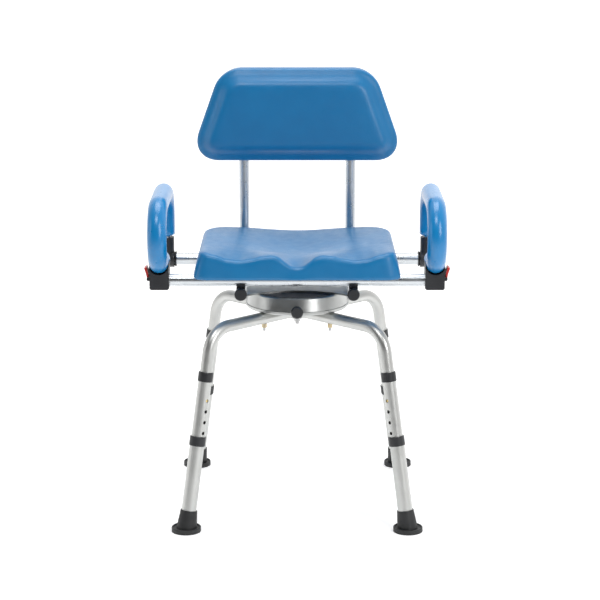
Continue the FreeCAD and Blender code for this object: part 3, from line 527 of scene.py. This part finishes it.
def back_block():
    foot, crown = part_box("back_pad")
    rear = crown.y - sum(depth for _, depth in REAR_STEPS)
    corners = [
        (-HALF_FOOT, rear, foot.z),
        (HALF_FOOT, rear, foot.z),
        (HALF_TOP, rear, crown.z),
        (-HALF_TOP, rear, crown.z),
    ]
    shape = bmesh.new()
    face = shape.faces.new([shape.verts.new(c) for c in corners])
    grown = bmesh.ops.extrude_face_region(shape, geom=[face])
    bmesh.ops.translate(shape, vec=(0, RIM_Y - rear, 0), verts=points_in(grown["geom"]))
    bmesh.ops.recalc_face_normals(shape, faces=shape.faces)
    middle = (foot.z + crown.z) / 2
    top_edges = [e for e in edges_along(shape, 1) if e.verts[0].co.z > middle]
    soften(shape, top_edges, TOP_CORNER, 12)
    foot_edges = [e for e in edges_along(shape, 1) if e.verts[0].co.z < foot.z + HAIR]
    soften(shape, foot_edges, FOOT_CORNER, 12)
    front = min(shape.faces, key=lambda f: f.calc_center_median().y)
    step_out(shape, front, FLANGE_STEPS + PILLOW_STEPS)
    behind = max(shape.faces, key=lambda f: f.calc_center_median().y)
    step_out(shape, behind, REAR_STEPS)
    return shape


print("back steps out by", round(sum(depth for _, depth in FLANGE_STEPS + PILLOW_STEPS), 4))

# %% [markdown]
# The middle of the pillow swells a little more, like any cushion. A curve that
# falls away from the centre moves only the points that lie on the pillow, so the
# flange stays flat.

# %% The back's swell
PILLOW_Y = 0.160
SWELL, SWELL_HALF_WIDTH, SWELL_HALF_HEIGHT = 0.0025, 0.20, 0.09


def crown_back(shape):
    """A slight swell over the middle of the raised pillow."""
    foot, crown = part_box("back_pad")
    centre = (foot.z + crown.z) / 2
    for vert in shape.verts:
        if vert.co.y < PILLOW_Y:
            sideways = (vert.co.x / SWELL_HALF_WIDTH) ** 2
            upwards = ((vert.co.z - centre) / SWELL_HALF_HEIGHT) ** 2
            vert.co.y -= SWELL * max(1 - sideways - upwards, 0.0)


back_shape = dense_skin(back_block(), 0.0035, 6)
crown_back(back_shape)
back = finished_piece("back", back_shape, seat_skin, "turntable")
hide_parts("back_pad")
print("back", [round(v, 4) for v in (*back.bound_box[0], *back.bound_box[6])])

# %% [markdown]
# Each arm is a tube bent into a hook, with a thick foam sleeve over it. The
# sleeve is a round section carried along the hook: pushed straight where the
# tube is straight, and spun about a centre where it bends. Extrude and spin do
# exactly these two things, and the rings that they leave are perfectly even.


# %% Helpers for the arm sleeve
def round_section(centre, radius, segments):
    shape = bmesh.new()
    bmesh.ops.create_circle(shape, cap_ends=False, radius=radius, segments=segments)
    bmesh.ops.translate(shape, vec=centre, verts=shape.verts)
    return shape, list(shape.edges)


def push(shape, edges, vec, steps):
    """Carry a ring of edges straight along, in even steps."""
    for _ in range(steps):
        grown = bmesh.ops.extrude_edge_only(shape, edges=edges)["geom"]
        edges = edges_in(grown)
        bmesh.ops.translate(shape, vec=Vector(vec) / steps, verts=points_in(grown))
    return edges


def turn(shape, edges, centre, angle, steps):
    """Carry a ring of edges round a bend in the plane of the arm."""
    grown = bmesh.ops.spin(
        shape, geom=edges, cent=centre, axis=(1, 0, 0), angle=angle, steps=steps, use_duplicate=False
    )["geom_last"]
    return edges_in(grown)


def close_end(shape, edges, radius, lip):
    """Round a ring's rim with smaller and smaller rings, and close the last with a face."""
    outer = {v for e in edges for v in e.verts}
    middle = sum((v.co for v in outer), Vector()) / len(outer)
    for shrink, reach in ((0.94, 0.35), (0.82, 0.8), (0.70, 1.0), (0.40, 1.0)):
        grown = bmesh.ops.extrude_edge_only(shape, edges=edges)["geom"]
        moved = points_in(grown)
        edges = edges_in(grown)
        ring = sum((v.co for v in moved), Vector()) / len(moved)
        goal = middle + Vector(lip) * reach
        size = shrink * radius / (moved[0].co - ring).length
        for vert in moved:
            vert.co = goal + (vert.co - ring) * size
    bmesh.ops.holes_fill(shape, edges=edges, sides=0)


print("sleeve helpers ready")

# %% [markdown]
# The hook starts above the black block at the rear, rises, bends forward, runs
# level, turns half a circle at the front and comes back for a short way below.
# The corners of the plain block's box tell us where the straight runs lie. The
# two ends are closed with a soft lip, as moulded foam has.

# %% The arm sleeves
SLEEVE_FOOT = 0.560
REAR_BEND = 0.060
TAIL = 0.0405
LIP = 0.0035


def sleeve_shape(block):
    # The block's round walls are small flats, so its box is rounded to 0.1 mm.
    foot, crown = (Vector([round(v, 4) for v in corner]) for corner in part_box(block))
    radius = (crown.x - foot.x) / 2
    x, rear, top = foot.x + radius, crown.y - radius, crown.z - radius
    loop = (top - foot.z - radius) / 2
    front = foot.y + radius + loop
    start = SLEEVE_FOOT + LIP
    shape, ring = round_section(Vector((x, rear, start)), radius, 48)
    first = list(ring)
    ring = push(shape, ring, (0, 0, top - REAR_BEND - start), 4)
    ring = turn(shape, ring, (x, rear - REAR_BEND, top - REAR_BEND), math.radians(90), 20)
    ring = push(shape, ring, (0, front - rear + REAR_BEND, 0), 12)
    ring = turn(shape, ring, (x, front, top - loop), math.radians(180), 40)
    ring = push(shape, ring, (0, TAIL, 0), 4)
    close_end(shape, ring, radius, (0, LIP, 0))
    close_end(shape, first, radius, (0, 0, -LIP))
    bmesh.ops.recalc_face_normals(shape, faces=shape.faces)
    return shape


for hand in ("left", "right"):
    block = f"arm_sleeve_{hand}"
    sleeve = finished_piece(f"sleeve_{hand}", sleeve_shape(block), sleeve_skin, f"arm_{hand}")
    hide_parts(block)

# %% [markdown]
# The chair stands on a plain pale floor that runs far past the view, so that
# the floor is also the backdrop. It is rough, because a shiny floor would mirror
# the legs, and it glows, as a lit white sweep does. In front of the chair it
# turns slowly to a grey, which gives the tubes a darker side. Object coordinates
# drive the change, so it stays with the floor from wherever it is seen.

# %% The floor
FLOOR_HALF = 40.0
# For each socket: where it is dim and where it is lit, and the two values.
FLOOR_FADES = {
    "Base Color": (-2.6, -0.8, 0.40, 0.95),
    "Emission Color": (-2.0, 5.0, 0.08, 0.80),
}


def add_fade(nodes, limits):
    """A Map Range node that goes from one value to another between two places."""
    fade = nodes.new("ShaderNodeMapRange")
    for socket, value in zip(("From Min", "From Max", "To Min", "To Max"), limits):
        fade.inputs[socket].default_value = value
    return fade


def make_pale_floor():
    pale = bpy.data.materials.new("pale_floor")
    pale.use_nodes = True
    nodes, links = pale.node_tree.nodes, pale.node_tree.links
    skin = nodes["Principled BSDF"]
    skin.inputs["Roughness"].default_value = 0.95
    skin.inputs["Emission Strength"].default_value = 1.0
    place = nodes.new("ShaderNodeTexCoord")
    parts = nodes.new("ShaderNodeSeparateXYZ")
    links.new(place.outputs["Object"], parts.inputs["Vector"])
    for socket, limits in FLOOR_FADES.items():
        fade = add_fade(nodes, limits)
        links.new(parts.outputs["Y"], fade.inputs["Value"])
        links.new(fade.outputs["Result"], skin.inputs[socket])
    return pale


def make_floor():
    shape = bmesh.new()
    bmesh.ops.create_grid(shape, x_segments=4, y_segments=4, size=FLOOR_HALF)
    mesh = bpy.data.meshes.new("floor")
    shape.to_mesh(mesh)
    shape.free()
    floor = bpy.data.objects.new("floor", mesh)
    bpy.context.scene.collection.objects.link(floor)
    mesh.materials.append(make_pale_floor())
    return floor


floor = make_floor()
print("floor", floor.name)

# %% [markdown]
# Soft studio light comes from all round. Most of it is a white sky, and four
# area panels give it a direction: a broad one overhead, two in front, which
# leave the soft streaks on the arm sleeves, and a weak one far to the left.
# Large panels are used because small lamps would throw hard shadows.


# %% Light panels
def panel(name, place, aim, size, power):
    lamp = bpy.data.lights.new(name, "AREA")
    lamp.shape = "RECTANGLE"
    lamp.size, lamp.size_y = size
    lamp.energy = power
    holder = bpy.data.objects.new(name, lamp)
    holder.location = place
    holder.rotation_euler = (Vector(aim) - Vector(place)).to_track_quat("-Z", "Y").to_euler()
    bpy.context.scene.collection.objects.link(holder)
    return holder


panel("overhead", (0, 0.5, 3.6), (0, 0, 0.5), (2.2, 2.0), 56)
panel("front_right", (2.0, -2.6, 1.9), (0, 0, 0.55), (1.0, 2.0), 46)
panel("front_high", (-0.4, -1.9, 3.2), (0, 0, 0.6), (1.2, 1.0), 32)
panel("far_left", (-3.2, -0.5, 1.2), (0, 0, 0.55), (0.9, 1.6), 8)

# %% [markdown]
# Polished tubes only look like metal when they have something dark to mirror.
# The sky is therefore bright behind the chair and grows dim in front of it and a
# little to the left. How well a direction agrees with the dim one is a dot
# product, and a Map Range node turns that into the sky's strength.

# %% The sky
DIM_WAY = Vector((-0.30, -0.90, 0.30)).normalized()
SKY_FADE = (-1.0, 0.75, 1.40, 0.06)


def make_sky():
    sky = bpy.data.worlds.new("studio")
    sky.use_nodes = True
    nodes, links = sky.node_tree.nodes, sky.node_tree.links
    way = nodes.new("ShaderNodeTexCoord")
    towards = nodes.new("ShaderNodeVectorMath")
    towards.operation = "DOT_PRODUCT"
    towards.inputs[1].default_value = DIM_WAY
    fade = add_fade(nodes, SKY_FADE)
    links.new(way.outputs["Generated"], towards.inputs[0])
    links.new(towards.outputs["Value"], fade.inputs["Value"])
    links.new(fade.outputs["Result"], nodes["Background"].inputs["Strength"])
    nodes["Background"].inputs["Color"].default_value = (1.0, 1.0, 1.0, 1)
    return sky


bpy.context.scene.world = make_sky()
bpy.context.scene.view_settings.view_transform = "Standard"
print("sky", bpy.context.scene.world.name)

# %% [markdown]
# The camera stands about four metres in front, half a metre higher than the top
# of the back, and looks down by about thirteen degrees. A long lens keeps the
# chair's upright lines nearly parallel.

# %% The camera
LOOK_DOWN = 12.716

eye = bpy.data.cameras.new("eye")
eye.lens = 121.05
eye.sensor_width = 36.0
eye.clip_end = 200.0
camera = bpy.data.objects.new("camera", eye)
camera.location = (0.006, -4.213, 1.390)
camera.rotation_euler = (math.radians(90 - LOOK_DOWN), 0, 0)
bpy.context.scene.collection.objects.link(camera)
bpy.context.scene.camera = camera
print("camera at", tuple(round(v, 3) for v in camera.location))
